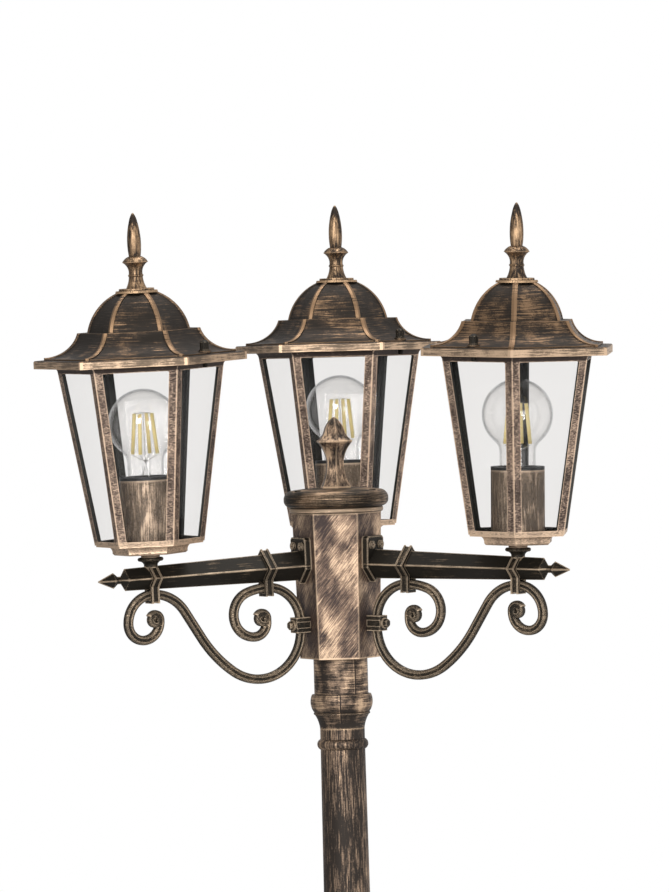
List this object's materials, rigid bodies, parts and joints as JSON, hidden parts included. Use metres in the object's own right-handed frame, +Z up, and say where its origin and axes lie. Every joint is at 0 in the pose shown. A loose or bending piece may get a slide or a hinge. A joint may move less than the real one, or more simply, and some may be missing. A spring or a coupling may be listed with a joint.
{
  "type": "garden lamp post",
  "caption": "Tall garden lamp post with a hexagonal hub, scrolled arms and glazed hexagonal lanterns, each holding a bulb.",
  "frame": {"origin": "on the ground under the middle of the pole, in the plane of the foot's underside", "axes": "+Z up along the pole, +Y along the rear arm, -Y towards the viewer of the picture"},
  "size_m": [0.4872, 0.4446, 2.1925],
  "materials": {
    "bronze_casting": "brushed antique bronze paint on cast aluminium",
    "bronze_pole": "brushed antique bronze paint on aluminium tube",
    "bronze_scroll": "dark bronze paint with rubbed edges",
    "bronze_lantern": "brushed antique bronze paint, mottled",
    "dark_screw": "bronzed steel",
    "plated_nut": "zinc plated",
    "black_insulator": "moulded black",
    "clear_glass": "clear flat glass",
    "lamp_glass": "clear blown glass",
    "lamp_cap": "nickel-bright shell",
    "filament": "phosphor-coated sticks on a glass stem"
  },
  "bodies": {
    "post": {"base_pedestal": "bronze_casting", "lower_pole": "bronze_pole", "pole_coupling": "bronze_casting", "upper_pole": "bronze_pole", "hub_neck": "bronze_casting", "hub_body": "bronze_casting", "hub_cap": "bronze_casting", "hub_cap_screws": "dark_screw", "hub_finial": "bronze_casting", "terminal_block": "black_insulator", "left_arm": "bronze_casting", "left_scroll": "bronze_scroll", "left_lantern_seat": "bronze_casting", "right_arm": "bronze_casting", "right_scroll": "bronze_scroll", "right_lantern_seat": "bronze_casting", "rear_arm": "bronze_casting", "rear_scroll": "bronze_scroll", "rear_lantern_seat": "bronze_casting", "arm_flange_screws": "dark_screw", "scroll_straps": "bronze_casting", "scroll_saddles": "bronze_casting", "saddle_screws": "dark_screw", "stem_nuts": "plated_nut"},
    "left_lantern": {"left_tray": "bronze_casting", "left_frame": "bronze_lantern", "left_panes": "clear_glass", "left_sleeve": "bronze_lantern", "left_lamp_holder": "black_insulator"},
    "left_bulb": {"left_bulb_glass": "lamp_glass", "left_bulb_cap": "lamp_cap", "left_bulb_filaments": "filament"},
    "left_roof": {"left_roof": "bronze_lantern", "left_roof_finial": "bronze_casting"},
    "left_thumb_screw_1": {"left_thumb_screw_1": "dark_screw"},
    "left_thumb_screw_2": {"left_thumb_screw_2": "dark_screw"},
    "right_lantern": {"right_tray": "bronze_casting", "right_frame": "bronze_lantern", "right_panes": "clear_glass", "right_sleeve": "bronze_lantern", "right_lamp_holder": "black_insulator"},
    "right_bulb": {"right_bulb_glass": "lamp_glass", "right_bulb_cap": "lamp_cap", "right_bulb_filaments": "filament"},
    "right_roof": {"right_roof": "bronze_lantern", "right_roof_finial": "bronze_casting"},
    "right_thumb_screw_1": {"right_thumb_screw_1": "dark_screw"},
    "right_thumb_screw_2": {"right_thumb_screw_2": "dark_screw"},
    "rear_lantern": {"rear_tray": "bronze_casting", "rear_frame": "bronze_lantern", "rear_panes": "clear_glass", "rear_sleeve": "bronze_lantern", "rear_lamp_holder": "black_insulator"},
    "rear_bulb": {"rear_bulb_glass": "lamp_glass", "rear_bulb_cap": "lamp_cap", "rear_bulb_filaments": "filament"},
    "rear_roof": {"rear_roof": "bronze_lantern", "rear_roof_finial": "bronze_casting"},
    "rear_thumb_screw_1": {"rear_thumb_screw_1": "dark_screw"},
    "rear_thumb_screw_2": {"rear_thumb_screw_2": "dark_screw"}
  },
  "joints": [
    {"name": "left_swivel", "type": "hinge", "parent": "post", "child": "left_lantern", "pos_m": [-0.15427, -0.08907, 1.88533], "axis": [-0.0227, -0.0131, 0.9997], "range_deg": [-90, 90]},
    {"name": "left_lamp_out", "type": "slide", "parent": "left_lantern", "child": "left_bulb", "axis": [-0.0227, -0.0131, 0.9997], "range_m": [0, 0.027]},
    {"name": "left_roof_lift", "type": "slide", "parent": "left_lantern", "child": "left_roof", "axis": [-0.0227, -0.0131, 0.9997], "range_m": [0, 0.12]},
    {"name": "left_thumb_screw_1_turn", "type": "hinge", "parent": "left_roof", "child": "left_thumb_screw_1", "pos_m": [-0.10244, -0.1253, 2.0761], "axis": [-0.0227, -0.0131, 0.9997], "continuous": true},
    {"name": "left_thumb_screw_2_turn", "type": "hinge", "parent": "left_roof", "child": "left_thumb_screw_2", "pos_m": [-0.21471, -0.05782, 2.07444], "axis": [-0.0227, -0.0131, 0.9997], "continuous": true},
    {"name": "right_swivel", "type": "hinge", "parent": "post", "child": "right_lantern", "pos_m": [0.15427, -0.08907, 1.88533], "axis": [0.0227, -0.0131, 0.9997], "range_deg": [-90, 90]},
    {"name": "right_lamp_out", "type": "slide", "parent": "right_lantern", "child": "right_bulb", "axis": [0.0227, -0.0131, 0.9997], "range_m": [0, 0.027]},
    {"name": "right_roof_lift", "type": "slide", "parent": "right_lantern", "child": "right_roof", "axis": [0.0227, -0.0131, 0.9997], "range_m": [0, 0.12]},
    {"name": "right_thumb_screw_1_turn", "type": "hinge", "parent": "right_roof", "child": "right_thumb_screw_1", "pos_m": [0.19425, -0.03662, 2.07518], "axis": [0.0227, -0.0131, 0.9997], "continuous": true},
    {"name": "right_thumb_screw_2_turn", "type": "hinge", "parent": "right_roof", "child": "right_thumb_screw_2", "pos_m": [0.12291, -0.14649, 2.07536], "axis": [0.0227, -0.0131, 0.9997], "continuous": true},
    {"name": "rear_swivel", "type": "hinge", "parent": "post", "child": "rear_lantern", "pos_m": [0, 0.17814, 1.88533], "axis": [0, 0.0262, 0.9997], "range_deg": [-90, 90]},
    {"name": "rear_lamp_out", "type": "slide", "parent": "rear_lantern", "child": "rear_bulb", "axis": [0, 0.0262, 0.9997], "range_m": [0, 0.027]},
    {"name": "rear_roof_lift", "type": "slide", "parent": "rear_lantern", "child": "rear_roof", "axis": [0, 0.0262, 0.9997], "range_m": [0, 0.12]},
    {"name": "rear_thumb_screw_1_turn", "type": "hinge", "parent": "rear_roof", "child": "rear_thumb_screw_1", "pos_m": [-0.05493, 0.21877, 2.07434], "axis": [0, 0.0262, 0.9997], "continuous": true},
    {"name": "rear_thumb_screw_2_turn", "type": "hinge", "parent": "rear_roof", "child": "rear_thumb_screw_2", "pos_m": [0.05493, 0.14745, 2.0762], "axis": [0, 0.0262, 0.9997], "continuous": true}
  ]
}
